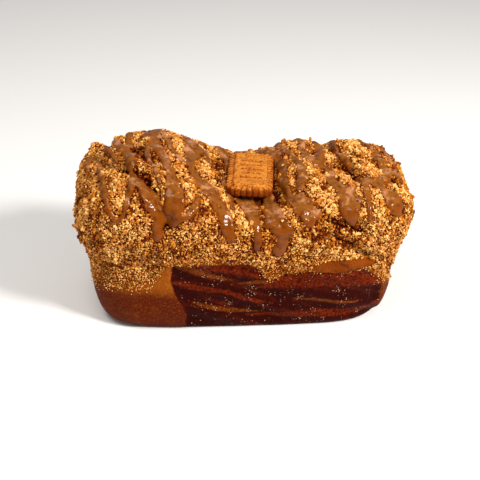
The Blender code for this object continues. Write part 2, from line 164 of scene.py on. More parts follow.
# Caramel: each ribbon is stops of (x in mm, turn in degrees, width in mm)
RIBBONS = (
    ((-108, -26, 4), (-103, -20, 5), (-100, -12, 5), (-97, 5, 5), (-94, 26, 5), (-92, 37, 5), (-89, 46, 5),
     (-85, 50, 4), (-81, 47, 4), (-78, 40, 5), (-75, 30, 6), (-76, 18, 6)),
    ((-97, -26, 4), (-91, -12, 5), (-85, 4, 4)),
    ((-93, -50, 6), (-88, -26, 7), (-81, -9, 9), (-77, 3, 8), (-76, 15, 7)),
    ((-84, -60, 5), (-79, -34, 6), (-79, -12, 7)),
    ((-68, -44, 5), (-67, -20, 5)),
    ((-64, -56, 9), (-60, -30, 10), (-61, -18, 10), (-65, -5, 6), (-64, 6, 5), (-60, 20, 5), (-57, 31, 4)),
    ((-60, -22, 9), (-59, -8, 8), (-55, 4, 8), (-52, 16, 8), (-50, 26, 10), (-49, 34, 12), (-48, 42, 14),
     (-49, 47, 12), (-49, 52, 8)),
    ((-47, 50, 5), (-41, 49, 5), (-36, 45, 6), (-33, 38, 5)),
    ((-76, 18, 5), (-71, 30, 7), (-67, 35, 11), (-62, 40, 15), (-59, 44, 15), (-59, 49, 12), (-59, 54, 9),
     (-60, 60, 6)),
    ((-56, -40, 5), (-51, -15, 5), (-47, -3, 6), (-44, 6, 6)),
    ((-46, -58, 7), (-39, -34, 9), (-34, -20, 15), (-37, -4, 10), (-37, 12, 7), (-32, 23, 12),
     (-27, 29, 14), (-22, 38, 13), (-17, 48, 11), (-14, 56, 10), (-12, 62, 6)),
    ((-29, -52, 6), (-26, -24, 6), (-24, -7, 5)),
    ((-20, -64, 7), (-13, -45, 8), (-10, -36, 8), (-10, -14, 6)),
    ((-14, 15, 5), (-12, 30, 6), (-11, 44, 4)),
    ((12, -62, 7), (16, -44, 9), (26, -24, 11), (28, -6, 10), (26, 12, 9), (27, 25, 7), (29, 36, 6)),
    ((28, -56, 6), (31, -30, 6), (36, -13, 6), (38, 6, 7), (38, 20, 8), (34, 31, 6)),
    ((42, -60, 7), (44, -26, 7), (47, -7, 9), (55, -3, 9), (58, 10, 8), (57, 22, 7), (61, 30, 10),
     (66, 36, 15), (66, 44, 15), (66, 48, 12), (68, 53, 6)),
    ((58, -56, 7), (56, -34, 9), (54, -10, 8)),
    ((70, -54, 6), (69, -30, 7), (71, -10, 7), (75, 1, 6)),
    ((88, -58, 6), (90, -32, 7), (95, -20, 7), (97, -4, 7), (99, 10, 8), (91, 24, 8), (82, 26, 8),
     (77, 16, 7)),
    ((77, 18, 6), (78, 31, 6), (78, 42, 5), (78, 51, 4)),
    ((83, 25, 6), (88, 32, 8), (93, 38, 12), (96, 43, 15), (95, 48, 11)),
    ((23, 39, 6), (29, 39, 11), (34, 41, 20), (38, 45, 22), (38, 49, 14), (38, 54, 6)),
    ((0, 28, 8), (2, 38, 11), (2, 46, 11), (4, 54, 7), (5, 61, 6), (5, 68, 4)),
    ((-14, 6, 3), (-12, 23, 4), (-7, 31, 5), (-4, 37, 5), (-2, 45, 4)),
    ((14, 27, 8), (15, 38, 10), (15, 44, 13), (17, 50, 16), (20, 55, 14), (22, 60, 10), (21, 64, 9),
     (20, 68, 10), (20, 71, 7)),
    ((-105, -24, 5), (-106, -10, 5), (-105, 0, 4)),
    ((102, -40, 5), (105, -12, 5), (105, 16, 4)),
    ((-3, -66, 6), (2, -50, 8), (8, -38, 7)),
)
POINTS_PER_SPAN = 24
# The beads that a ribbon is made of: their distance along it and between rows, and their greatest radius
BEAD_STEP = 1.1 * MM
BEAD_ROW = 2 * MM
WIDEST_BEAD = 3.2 * MM
BEAD_LENGTH = 0.9
CARAMEL_LIFT = 0.8 * MM
# Shares of the full thickness that a ribbon has and that the drip at its end adds, how far before the end
# the drip lies and how long it is, as shares of the half width, and the half width of a full ribbon
RIBBON_SHARE = 0.75
DRIP_SHARE = 0.35
DRIP_FROM_END = 0.9
DRIP_LENGTH = 0.8
FULL_HALF_WIDTH = 2.5 * MM
# How far a ribbon sways, as a share of its half width, how much it wavers in width, over what lengths, and
# the layer of the noise that sways it
SWAY = 0.4
SWAY_LENGTH = 4 * MM
SWAY_LAYER = 5
WAVER = 0.42
WAVER_LENGTH = 3.2 * MM
# How often the melted skin is smoothed, and the height and size of its lumps
CARAMEL_SMOOTHING = 6
CARAMEL_LUMP = 0.35 * MM
CARAMEL_LUMP_SIZE = 4.5 * MM

# Crumble: how each kind of crumb is grown from parts, its widths, the edge it ends at and its fade below
# that, the share of its width that is sunk in, and the share that stays where it falls on the caramel
CRUMB_PIECES = {
    "crumble_lumps": {
        "parts": 6, "faces": 20, "widths": (2.6 * MM, 4.6 * MM), "edge": GRAIN_EDGE, "fade": 2 * MM,
        "sunk": 0.3, "coated": 0.25,
    },
    "crumble_crumbs": {
        "parts": 1, "faces": 20, "widths": (1.4 * MM, 2.4 * MM), "edge": GRAIN_EDGE, "fade": 5 * MM,
        "sunk": 0.2, "coated": 0.08,
    },
    "crumble_grains": {
        "parts": 1, "faces": 8, "widths": (1.2 * MM, 2.1 * MM), "edge": GRAIN_EDGE, "fade": 7 * MM,
        "sunk": 0.1, "coated": 0.0,
    },
    "crumble_specks": {
        "parts": 1, "faces": 8, "widths": (1.0 * MM, 1.7 * MM), "edge": GRAIN_EDGE, "fade": 9 * MM,
        "sunk": 0.0, "coated": 0.0,
    },
    "crumble_dust": {
        "parts": 1, "faces": 8, "widths": (0.9 * MM, 1.5 * MM), "edge": CRUMBLE_EDGE, "fade": 9 * MM,
        "sunk": 0.1, "coated": 0.0,
    },
}
# Shapes of each kind and how they are grown, as shares of their width, and the places tried for each crumb
GRAIN_SHAPES = 8
PART_RADII = (0.2, 0.34)
PART_SHIFT = 0.32
GRAIN_ROUGHNESS = (0.7, 1.25)
GRAIN_LENGTHS = (0.9, 1.5)
GRAIN_HEIGHTS = (0.65, 1.0)
CANDIDATES = 5
# Small crumbs outnumber large ones by this power, and those on the sides are smaller by this share
SMALLER_POWER = 1.6
SIDE_SMALLER = 0.22
SIDE_STARTS = 0.6
# How far crumbs may lie over a ribbon's edge, at least and at most more, in mm, and how far they stack up
OVERLAP = 0.5
MORE_OVERLAP = 2.3
STACKED = 0.6 * MM
# What a crumb's tone is made of: its base, its knob (painted light on the knobs, painted shade in the
# crevices), broad patches and its own chance, then the low crumbs, and how much darker it is painted in the
# shade of a cleft, in the shade on the sides, and where caramel stains it
TONE_BASE = 0.12
TONE_KNOB_LIGHT = 0.66
TONE_PATCHES = 0.35
TONE_PATCH_SIZE = 15 * MM
TONE_CHANCE = 0.31
TONE_LOW = 0.12
TONE_CLEFT_SHADE = 0.5
TONE_SIDE_SHADE = 0.1
TONE_STAIN = 0.28
STAIN_REACH = 1.5 * MM
# Where crumbs are missing: the share gone from a cleft, and the height and part of the oval that stay bare
CLEFT_BARE = 0.8
FOOT_BARE = 3 * MM
OVAL_BARE = 0.06
# The share of dust above the coarser crumbs' edge and, by x in mm, below it
DUST_ABOVE = 0.25
DUST_BELOW = ((-120, 1), (0, 1), (8, 0.7), (84, 0.7), (96, 1), (120, 1))

# The biscuit: how it lies, and the space that crumbs leave round it above a height
BISCUIT_LAID = Matrix.LocRotScale(
    Vector((4.6 * MM, -0.9 * MM, 99.8 * MM)),
    Euler((math.radians(-2), math.radians(1), math.radians(-7))),
    None,
)
BISCUIT_SPACE = 0.8 * MM
BISCUIT_ABOVE = 80 * MM
SCALLOP_PITCH = 4.0 * MM
POINTS_PER_SCALLOP = 8
SCALLOP_DEPTH = 1.1 * MM
SCALLOP_POWER = 1.5
GROOVE_SHARE = 0.7
POINTS_PER_CORNER = 13
# Its rings, each as (inset in mm, height in mm, share of the scallops' depth, shade), with the height
# counted up from the underside and then down from the top
UNDER_RINGS = ((3.0, 0.0, 0.3, 1.0), (1.2, 0.0, 0.6, 1.0), (0.3, 0.5, 1.0, 1.0), (0.0, 1.4, 1.0, 1.0))
TOP_RINGS = (
    (0.0, 2.6, 1.0, 0.8), (0.15, 1.9, 1.0, 0.55), (0.6, 1.35, 1.0, 0.3), (1.3, 1.1, 1.0, 0.15),
    (2.3, 1.0, 0.9, 0.1), (3.3, 1.0, 0.8, 0.15), (4.0, 1.05, 0.4, 0.35), (4.5, 0.6, 0.1, 0.2),
    (5.0, 0.1, 0.0, 0.0),
)
# The rings of its raised middle: the first, the step between them and what is left in the middle
MIDDLE_INSET = 5.5 * MM
MIDDLE_STEP = 0.5 * MM
MIDDLE_LEFT = 0.7 * MM
# How uneven its surface is
WOBBLE = 0.25 * MM
WOBBLE_SIZE = 3 * MM
# The bars pressed into it, with how far from the middle each half of a parted bar starts
BAR_COUNT = 5
BAR_PITCH = 6.5 * MM
BAR_HALF_LENGTH = 6.5 * MM
BAR_PART = 1.8 * MM
BAR_DEPTH = 0.8 * MM
BAR_SOFTNESS = 0.9 * MM
# How much darker the scallops' grooves and the bars are painted: painted shade in these recesses
GROOVE_SHADE = 0.65
BAR_SHADE = 0.75

# The camera that took the photograph, placed by matching the loaf's outline
CAMERA_PLACE = Vector((-54.7, -557.9, 393.5)) * MM
CAMERA_RIGHT = Vector((0.99650, -0.07928, 0.02646))
CAMERA_DOWN = Vector((-0.01945, -0.52824, -0.84911))
FOCAL_PIXELS = 917
FRAME_PIXELS = 480
SENSOR_WIDTH = 36.0

# The stage: its lights as (place, size, colour), the point that they face, the sky and the floor
KEY_LIGHT = ((0.58, -0.5, 0.75), 0.2, (1.0, 0.97, 0.92))
FILL_LIGHT = ((-0.32, -0.2, 0.95), 0.4, (1.0, 0.96, 0.9))
LIT_POINT = Vector((0, 0, 60 * MM))
SKY_COLOUR = (1.0, 0.98, 0.96, 1.0)
FLOOR_SIZE = 6.0

SMALL = 0.01 * MM


def smooth_step(value):
    value = np.clip(value, 0.0, 1.0)
    return value * value * (3 - 2 * value)


def bump(value, centre, spread):
    """A smooth bump of height 1 at centre, which fades out over about twice the spread."""
    return np.exp(-(((value - centre) / spread) ** 2))


def read_stops(stops, values):
    """The second numbers of the stops at values, in straight lines between the stops."""
    places, heights = zip(*stops)
    return np.interp(values, places, heights)


def curve_through(stops):
    """Points of a smooth curve through the stops."""
    ends = np.array([stops[0], *stops, stops[-1]], float)
    points = []
    for a, b, c, d in zip(ends, ends[1:], ends[2:], ends[3:]):
        for i in range(POINTS_PER_SPAN):
            t = i / POINTS_PER_SPAN
            curved = 2 * a - 5 * b + 4 * c - d + t * (3 * (b - c) + d - a)
            points.append(b + 0.5 * t * (c - a + t * curved))
    points.append(ends[-1])
    return points


def noise_at(points, scale):
    """Smooth noise from about -1 to 1 at each point, with bumps about as wide as the scale."""
    return np.array([noise.noise(Vector(point)) for point in points / scale])


def plain_points(starts, bread):
    """The loaf's surface without its relief, on the rays from the middle of its waist through starts."""
    half_length, half_depth = bread.crown_length / 2, bread.crown_depth / 2
    x, y, z = starts.T
    above = z > 0
    rise = np.where(above, bread.crown_rise, bread.waist_height + FOOT_FLAT)
    power = np.where(above, DOME_POWER, FOOT_POWER)
    plan = abs(x / half_length) ** PLAN_POWER + abs(y / half_depth) ** PLAN_POWER
    size = (plan ** (power / PLAN_POWER) + abs(z / rise) ** power) ** (1 / power)
    x, y, z = (starts / size[:, None]).T
    added = sum(height * bump(x, place, spread) for place, spread, height in HUMPS)
    down = np.clip(-z / bread.waist_height, 0.0, 1.0)
    tuck = bread.overhang * smooth_step(-z / bread.overhang_drop)
    x = x * np.where(above, 1, 1 - (tuck + bread.end_taper * down) / half_length)
    y = y * np.where(above, 1, 1 - (tuck + bread.side_taper * down) / half_depth)
    z = z + np.where(above, added * z / bread.crown_rise, 0)
    return np.stack((x, y, np.maximum(0.0, z + bread.waist_height)), axis=1)


def turns_of(points):
    return np.degrees(np.arctan2(-points[:, 1], points[:, 2] - MIDDLE_LINE_HEIGHT))


def distance_to_line(x, turn, stops, bread):
    """Distances over the surface, in metres, from places to the line through the stops."""
    per_degree = bread.crown_depth / 2 * math.radians(1)
    here = np.stack((x, turn * per_degree), axis=1)
    places = np.array(stops, float) * (MM, per_degree)
    best = np.full(len(x), np.inf)
    for a, b in zip(places, places[1:]):
        along = np.clip((here - a) @ (b - a) / ((b - a) @ (b - a)), 0.0, 1.0)
        best = np.minimum(best, np.linalg.norm(here - a - along[:, None] * (b - a), axis=1))
    return best


def carved(points, lines, bread, sides=(1, -1)):
    """How deep the lines cut at each point, as given and, turned half round, on the far side."""
    turns = turns_of(points)
    total = np.zeros(len(points))
    for side in sides:
        for depth, reach, stops in lines:
            away = distance_to_line(points[:, 0] * side, turns * side, stops, bread)
            total += depth * bump(away, 0, reach)
    return total


def front_x(points):
    """Distances along the loaf as the front has them: the back repeats the front, turned half round."""
    return np.where(points[:, 1] < 0, points[:, 0], -points[:, 0])


def depth_below(edge, points):
    """How far points lie below an edge of the topping; above the edge it is negative."""
    return read_stops(edge, front_x(points) / MM) * MM - points[:, 2]


def swirl_span(points):
    """1 along the open swirl, between the end of the lobe and the loaf's end, and 0 beyond."""
    x = front_x(points)
    lobe_end = read_stops(LOBE_END, points[:, 2] / MM) * MM
    return smooth_step((x - lobe_end) / SWIRL_FADE) * smooth_step((SWIRL_END_X - x) / SWIRL_FADE)


def swirl_share(points):
    """1 on the long sides, where the cut strand shows its layers of filling, and 0 elsewhere."""
    return swirl_span(points) * smooth_step(depth_below(CRUMBLE_EDGE, points) / SWIRL_FADE)


def band_share(points, bands):
    """1 along the middle of bands of dough in the open swirl, falling to 0 at their edges."""
    x, z = front_x(points) / MM, points[:, 2] / MM
    share = np.zeros(len(points))
    for stops in bands:
        along, height, half = np.array(curve_through(stops)).T
        half = np.interp(x, along, half, left=0, right=0)
        away = abs(z - np.interp(x, along, height))
        share = np.maximum(share, smooth_step(1 - away / np.maximum(half, SMALL)))
    return share


def bare_dough(points):
    """1 in the middle of the bare oval of dough on each long side, falling to 0 at its edge."""
    turns = turns_of(points) * np.where(points[:, 1] < 0, 1, -1)
    along = (front_x(points) - BARE_DOUGH["x"]) / BARE_DOUGH["long"]
    up = (turns - BARE_DOUGH["turn"]) * math.radians(1) * BARE_DOUGH["radius"] / BARE_DOUGH["high"]
    return np.clip(1 - along**2 - (up + BARE_DOUGH["tilt"] * along) ** 2, 0.0, 1.0)


def knobs_at(points, size):
    """Height from 0 to 1 of rounded knobs about as wide as size, with creases between them."""
    nearest = np.array([noise.voronoi(Vector(point))[0][0] for point in points / size])
    return np.clip(1 - nearest**2, 0.0, 1.0)


def bare_cleft(points, bread):
    """1 deep in the clefts and creases, where few crumbs lie, and 0 on the crumble beside them."""
    depth = carved(points, CLEFTS, bread) - CLEFT_STARTS
    crease = carved(points, CREASES, bread) * CREASE_BARE
    return smooth_step(np.maximum(depth, crease) / CLEFT_FADE)


def crumble_knobs(points):
    """How the crumble clumps, from 0 in the crevices to 1 on the knobs."""
    bend = np.stack([noise_at(points + shift, KNOB_BEND_SIZE) for shift in (0, 1, 2)], axis=1)
    bent = points + KNOB_BEND * bend
    return sum(share * knobs_at(bent, width) for width, share in KNOBS)


def relief(points, bread):
    """How far the real surface stands out from the plain one, before the crumbs lie on it."""
    height = bread.soft_relief * noise_at(points, SOFT_RELIEF_SCALE)
    crumbled = 1 - smooth_step(depth_below(CRUMBLE_EDGE, points) / SWIRL_FADE)
    height += crumbled * (bread.crumble_relief * crumble_knobs(points) - bread.crumb_layer)
    height -= carved(points, CLEFTS, bread) + carved(points, CLUMPS, bread, (1,))
    layer = (points[:, 2] + SWIRL_LAYER_SLOPE * front_x(points)) / SWIRL_LAYER_PITCH
    ridges = SWIRL_LAYER_RELIEF * np.sin(math.tau * layer)
    height += swirl_share(points) * (ridges - SWIRL_RECESS)
    height -= carved(points, CREASES, bread)
    height += BARE_DOUGH["stands_out"] * np.sqrt(bare_dough(points))
    return height * smooth_step(points[:, 2] / RELIEF_STARTS)


def cell_box(cells):
    """A box from -1 to 1 each way, whose faces are cut into even cells."""
    bm = bmesh.new()
    bmesh.ops.create_cube(bm, size=2.0)
    for axis, count in enumerate(cells):
        along = [
            edge for edge in bm.edges
            if abs((edge.verts[1].co - edge.verts[0].co)[axis]) > (edge.calc_length() / 2)
        ]
        bmesh.ops.subdivide_edges(bm, edges=along, cuts=count - 1, use_grid_fill=True)
    return bm


def add_object(name, data):
    added = bpy.data.objects.new(name, data)
    bpy.context.scene.collection.objects.link(added)
    return added


def piece_from(name, bm):
    mesh = bpy.data.meshes.new(name)
    bm.to_mesh(mesh)
    bm.free()
    return add_object(name, mesh)


def shape_of(bm):
    """(vertices, triangles) of a bmesh, which is then freed."""
    bm.verts.index_update()
    vertices = np.array([vert.co[:] for vert in bm.verts])
    triangles = np.array([[vert.index for vert in face.verts] for face in bm.faces])
    bm.free()
    return vertices, triangles


def copied_triangles(triangles, corners, count, start=0):
    """The triangles of count copies of a shape with so many corners, the first of which is number start."""
    offsets = start + np.arange(count) * corners
    return (triangles[None] + offsets[:, None, None]).reshape(-1, 3)


def read_vectors(collection, name, count):
    values = np.empty(count * 3)
    collection.foreach_get(name, values)
    return values.reshape(-1, 3)


def vertex_places(mesh):
    return read_vectors(mesh.vertices, "co", len(mesh.vertices))


def vertex_normals(mesh):
    return read_vectors(mesh.vertex_normals, "vector", len(mesh.vertices))


def move_vertices(mesh, places):
    mesh.vertices.foreach_set("co", places.ravel())
    mesh.update()


def store(mesh, name, values):
    """Keeps one number for each vertex, which the material reads by its name."""
    mesh.attributes.new(name, "FLOAT", "POINT").data.foreach_set("value", values.astype(np.float32))


def finish_piece(piece, material, slot, *nodes):
    """Gives a piece its material and its body, and hides the CAD nodes that it stands for."""
    piece.data.materials.clear()
    piece.data.materials.append(material)
    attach(piece, "root")
    if nodes:
        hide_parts(*nodes)


class Field:
    """A socket of a shader. Python's operators on it add Math nodes."""

    def __init__(self, shader, socket):
        self.shader = shader
        self.socket = socket

    def maths(self, operation, other):
        return self.shader.node("ShaderNodeMath", {"operation": operation}, {0: self, 1: other})

    def reflected(self, operation, other):
        return self.shader.node("ShaderNodeMath", {"operation": operation}, {0: other, 1: self})

    def __add__(self, other):
        return self.maths("ADD", other)

    def __radd__(self, other):
        return self.reflected("ADD", other)

    def __sub__(self, other):
        return self.maths("SUBTRACT", other)

    def __rsub__(self, other):
        return self.reflected("SUBTRACT", other)

    def __mul__(self, other):
        return self.maths("MULTIPLY", other)

    def __rmul__(self, other):
        return self.reflected("MULTIPLY", other)

    def __truediv__(self, other):
        return self.maths("DIVIDE", other)

    def step(self, low, high):
        """0 where the value is below low, 1 above high, and smooth between."""
        return self.shader.node(
            "ShaderNodeMapRange",
            {"interpolation_type": "SMOOTHSTEP"},
            {"Value": self, "From Min": low, "From Max": high},
        )


class Shader:
    """A new material's nodes."""

    def __init__(self, name):
        self.material = bpy.data.materials.new(name)
        self.material.use_nodes = True
        self.tree = self.material.node_tree
        self.surface = self.tree.nodes["Principled BSDF"]

    def put(self, socket, value):
        if isinstance(value, Field):
            self.tree.links.new(value.socket, socket)
        else:
            socket.default_value = value

    def node(self, kind, settings, sockets, output=0):
        """Adds a node: first its settings, then the values or links of its sockets."""
        made = self.tree.nodes.new(kind)
        for name, value in settings.items():
            if name == "stops":
                elements = made.color_ramp.elements
                for index, (place, colour) in enumerate(value):
                    stop = elements[index] if index < 2 else elements.new(place)
                    stop.position = place
                    stop.color = colour
            else:
                setattr(made, name, value)
        for name, value in sockets.items():
            self.put(made.inputs[name], value)
        return Field(self, made.outputs[output])

    def places(self):
        return self.node("ShaderNodeTexCoord", {}, {}, "Object")

    def axes(self):
        """X, Y and Z of the object's own coordinates."""
        split = self.node("ShaderNodeSeparateXYZ", {}, {0: self.places()}).socket.node
        return [Field(self, output) for output in split.outputs]

    def attribute(self, name):
        return self.node("ShaderNodeAttribute", {"attribute_name": name}, {}, "Fac")

    def noise(self, size, detail=3.0):
        """Noise from 0 to 1 with blots about as wide as size, in metres."""
        sockets = {"Vector": self.places(), "Scale": 1 / size, "Detail": detail, "Roughness": 0.55}
        return self.node("ShaderNodeTexNoise", {}, sockets)

    def streaks(self, long, wide):
        """Noise from 0 to 1 in streaks of that size, which fall towards +X on the front."""
        slope = self.attribute("front_x")
        z = self.axes()[2]
        along = slope * 0.9 - z * 0.43
        across = z * 0.9 + slope * 0.43
        place = self.node(
            "ShaderNodeCombineXYZ", {}, {0: along / long, 1: across / wide, 2: self.noise(40 * MM) * 0.8}
        )
        return self.node("ShaderNodeTexNoise", {}, {"Vector": place, "Scale": 1.0, "Detail": 2.0})

    def grains(self, size):
        """Distance to the nearest grain's middle, from 0, for grains about as wide as size."""
        sockets = {"Vector": self.places(), "Scale": 1 / size}
        return self.node("ShaderNodeTexVoronoi", {}, sockets, "Distance")

    def mix(self, factor, first, second):
        made = self.tree.nodes.new("ShaderNodeMix")
        made.data_type = "RGBA"
        for index, value in ((0, factor), (6, first), (7, second)):
            self.put(made.inputs[index], value)
        return Field(self, made.outputs[2])

    def ramp(self, value, *stops):
        """A colour for each value from 0 to 1, through stops of (value, colour)."""
        return self.node("ShaderNodeValToRGB", {"stops": stops}, {0: value})

    def bump(self, height, distance):
        """Bumps of the given height map, distance metres high."""
        normal = self.node("ShaderNodeBump", {}, {"Height": height, "Distance": distance, "Strength": 1.0})
        self.put(self.surface.inputs["Normal"], normal)

    def set(self, **inputs):
        """Sets the shader's own sockets, whose names have underscores for spaces here."""
        for name, value in inputs.items():
            self.put(self.surface.inputs[name.replace("_", " ")], value)


def paint(red, green, blue):
    """The linear colour of a shade that is given as it looks, in values from 0 to 255."""
    return tuple(((value / 255 + 0.055) / 1.055) ** 2.4 for value in (red, green, blue)) + (1.0,)


def colour_property(name, description, default):
    return FloatVectorProperty(
        name=name, description=description, default=default, size=4, subtype="COLOR", min=0.0, max=1.0
    )


def length_property(name, description, default):
    return FloatProperty(name=name, description=description, default=default, unit="LENGTH", precision=5)


def count_property(name, description, default):
    return IntProperty(name=name, description=description, default=default, min=1)


def power_property(name, description, default):
    return FloatProperty(name=name, description=description, default=default, unit="POWER")


class BreadSettings(bpy.types.PropertyGroup):
    crown_length: length_property("Crown length", "Length of the risen crown", 231 * MM)
    crown_depth: length_property("Crown depth", "Front to back over the crown", 115 * MM)
    crown_rise: length_property("Crown rise", "Height of the dome above the waist", 36 * MM)
    waist_height: length_property("Waist height", "Height of the widest line", 77 * MM)
    overhang: length_property("Overhang", "How far the crown stands out over the foot", 4.5 * MM)
    overhang_drop: length_property("Overhang drop", "Height over which the overhang fades", 26 * MM)
    end_taper: length_property("End taper", "How much each end draws in towards the foot", 8 * MM)
    side_taper: length_property("Side taper", "How much each side draws in towards the foot", 6 * MM)
    soft_relief: length_property("Soft relief", "Height of the broad unevenness", 1.6 * MM)
    crumble_relief: length_property("Crumble relief", "Height of the knobs of the crumble", 5.4 * MM)
    crumb_layer: length_property("Crumb layer", "How deep the bread lies under the crumble", 5.6 * MM)
    cell: length_property("Cell", "Size of the bread's mesh cells", 1.6 * MM)
    crust: colour_property("Crust", "Golden brown of the bare crust", paint(146, 74, 12))
    crust_pale: colour_property("Pale crust", "Golden flecks on the bare crust", paint(196, 122, 44))
    crust_low: colour_property("Low crust", "Dark red-brown of the crust at the foot", paint(88, 27, 3))
    filling: colour_property("Filling", "Dark chocolate of the filling", paint(46, 6, 1))
    filling_red: colour_property("Red filling", "Red-brown of dough soaked with filling", paint(112, 34, 4))
    dough: colour_property("Dough", "Orange-brown dough between the filling", paint(132, 62, 8))
    # Painted glints: pale specks that stand in for the tiny highlights on the moist filling
    painted_glint: colour_property("Speck", "Pale specks of sugar in the filling", paint(214, 176, 140))
    gap: colour_property("Gap", "Dark brown between the crumbs", paint(106, 42, 4))


class CrumbleSettings(bpy.types.PropertyGroup):
    lumps: count_property("Lumps", "Number of large crumbs", 1500)
    crumbs: count_property("Crumbs", "Number of middling crumbs", 9600)
    grains: count_property("Grains", "Number of small crumbs", 23000)
    specks: count_property("Specks", "Number of crumbs between the larger ones", 18000)
    dust: count_property("Dust", "Number of the smallest crumbs", 20000)
    light: colour_property("Light", "Palest of the crumbs", paint(248, 196, 118))
    middle: colour_property("Middle", "Most of the crumbs", paint(198, 114, 30))
    golden: colour_property("Golden", "Palest of the yellower crumbs", paint(246, 206, 114))
    ochre: colour_property("Ochre", "Most of the yellower crumbs", paint(198, 128, 34))
    dark: colour_property("Dark", "Darkest of the crumbs", paint(92, 25, 0))
    seed: IntProperty(name="Seed", description="Another seed lays the crumbs anew", default=11)


class CaramelSettings(bpy.types.PropertyGroup):
    thickness: length_property("Thickness", "Height of a ribbon over the bread", 2.0 * MM)
    voxel: length_property("Voxel", "Size of the cells in which the ribbons flow together", 0.75 * MM)
    # Painted sheen: a pale brown that stands in for the broad sheen on the caramel that lies level
    painted_sheen: colour_property("Milky caramel", "Pale brown of the patches that set dull", paint(190, 130, 88))
    thick: colour_property("Level caramel", "Brown of the caramel that lies level", paint(130, 75, 22))
    thin: colour_property("Running caramel", "Amber brown where it runs down", paint(122, 59, 0))
    deep: colour_property("Deep caramel", "Dark amber where crumbs show through it", paint(82, 32, 0))


class BiscuitSettings(bpy.types.PropertyGroup):
    length: length_property("Length", "Long side", 60 * MM)
    width: length_property("Width", "Short side", 31.5 * MM)
    thickness: length_property("Thickness", "Thickness at the middle", 7 * MM)
    corner: length_property("Corner", "Radius of the corners", 7.5 * MM)
    bake: colour_property("Bake", "Orange-brown of the biscuit", paint(218, 138, 52))
    # Its edge and underside are partly toasted and partly painted shade; its grooves and bars get painted
    # shade
    edge: colour_property("Edge", "Darker brown of its edge and grooves", paint(128, 54, 6))


class StageSettings(bpy.types.PropertyGroup):
    floor: colour_property("Floor", "Pale floor", (0.95, 0.95, 0.95, 1.0))
    key_power: power_property("Key power", "Main light", 12.2)
    fill_power: power_property("Fill power", "Soft light from above", 4.5)
    sky: FloatProperty(name="Sky", description="Strength of the light from all round", default=0.34)


SETTINGS = {
    "babka_bread": BreadSettings,
    "babka_crumble": CrumbleSettings,
    "babka_caramel": CaramelSettings,
    "babka_biscuit": BiscuitSettings,
    "babka_stage": StageSettings,
}


def bread_mesh(bread):
    """The bread's plain surface and its relief, in fine cells, closed underneath."""
    spans = (bread.crown_length, bread.crown_depth, bread.crown_rise + bread.waist_height)
    piece = piece_from("crust", cell_box([round(span / bread.cell) for span in spans]))
    mesh = piece.data
    starts = vertex_places(mesh) * np.array(spans) / 2
    starts[:, 2] += (bread.crown_rise - bread.waist_height) / 2
    places = plain_points(starts, bread)
    move_vertices(mesh, places)
    move_vertices(mesh, places + vertex_normals(mesh) * relief(places, bread)[:, None])
    return piece


def crust_material(bread):
    shader = Shader("baked_crust")
    z = shader.axes()[2]
    crumbled = shader.attribute("crumbled")
    blots = shader.noise(9 * MM, 5.0)
    fine = shader.noise(1.4 * MM, 3.0)
    low = (z + (blots - 0.5) * 12 * MM).step(42 * MM, 27 * MM)
    crust = shader.mix(low, bread.crust, bread.crust_low)
    crust = shader.mix(blots.step(0.5, 0.75) * 0.3, crust, bread.crust)
    crust = shader.mix(shader.noise(2.6 * MM, 3.0).step(0.5, 0.75) * 0.4, crust, bread.crust_low)
    crust = shader.mix(fine.step(0.5, 0.7) * (0.35 - low * 0.2), crust, bread.crust_pale)
    crust = shader.mix(z.step(7 * MM, 0.0) * 0.5, crust, bread.filling)
    grain = shader.noise(1.9 * MM, 4.0)
    frayed = (shader.noise(3.6 * MM, 4.0) - 0.5) * 1.1
    red = (shader.attribute("red") + frayed).step(0.0, 0.6) * (0.2 + grain.step(0.35, 0.65) * 0.8)
    red = red + shader.streaks(26 * MM, 5 * MM).step(0.5, 0.75) * 0.35
    filling = shader.mix(red, bread.filling, bread.filling_red)
    orange = (shader.attribute("orange") + frayed * 0.6).step(0.2, 0.95)
    orange = orange * (0.3 + grain.step(0.3, 0.65) * 0.6)
    filling = shader.mix(orange, filling, bread.dough)
    # Painted glints: pale specks in place of the tiny highlights on the moist filling
    specks = shader.grains(1.7 * MM).step(0.3, 0.16) * shader.noise(9 * MM).step(0.5, 0.62)
    specks = specks * (1 - shader.attribute("red").step(0.0, 0.6) * 0.5)
    filling = shader.mix(fine.step(0.48, 0.66) * 0.55, filling, bread.filling)
    filling = shader.mix(specks * 0.7, filling, bread.painted_glint)
    swirl = shader.attribute("swirl") + (shader.noise(5 * MM, 4.0) - 0.5) * 0.9
    colour = shader.mix(swirl.step(0.25, 0.6), crust, filling)
    bare = shader.mix(blots.step(0.4, 0.7) * 0.5, bread.dough, bread.crust_low)
    colour = shader.mix(shader.attribute("dough").step(0.02, 0.2), colour, bare)
    # Painted shade in the clefts: the bread under the crumble darkens there from the gap's brown to the
    # filling's
    under = shader.mix(shader.attribute("cleft"), bread.gap, bread.filling)
    under = shader.mix(shader.attribute("fine") * fine.step(0.4, 0.6), under, bread.crust)
    colour = shader.mix(crumbled, colour, under)
    pores = shader.grains(1.1 * MM)
    shader.bump(pores * 0.6 + fine * 0.8 + blots * 0.5, 0.7 * MM)
    shader.set(Base_Color=colour, Roughness=0.36 + crumbled * 0.34 + fine * 0.15, Specular_IOR_Level=0.02)
    return shader.material


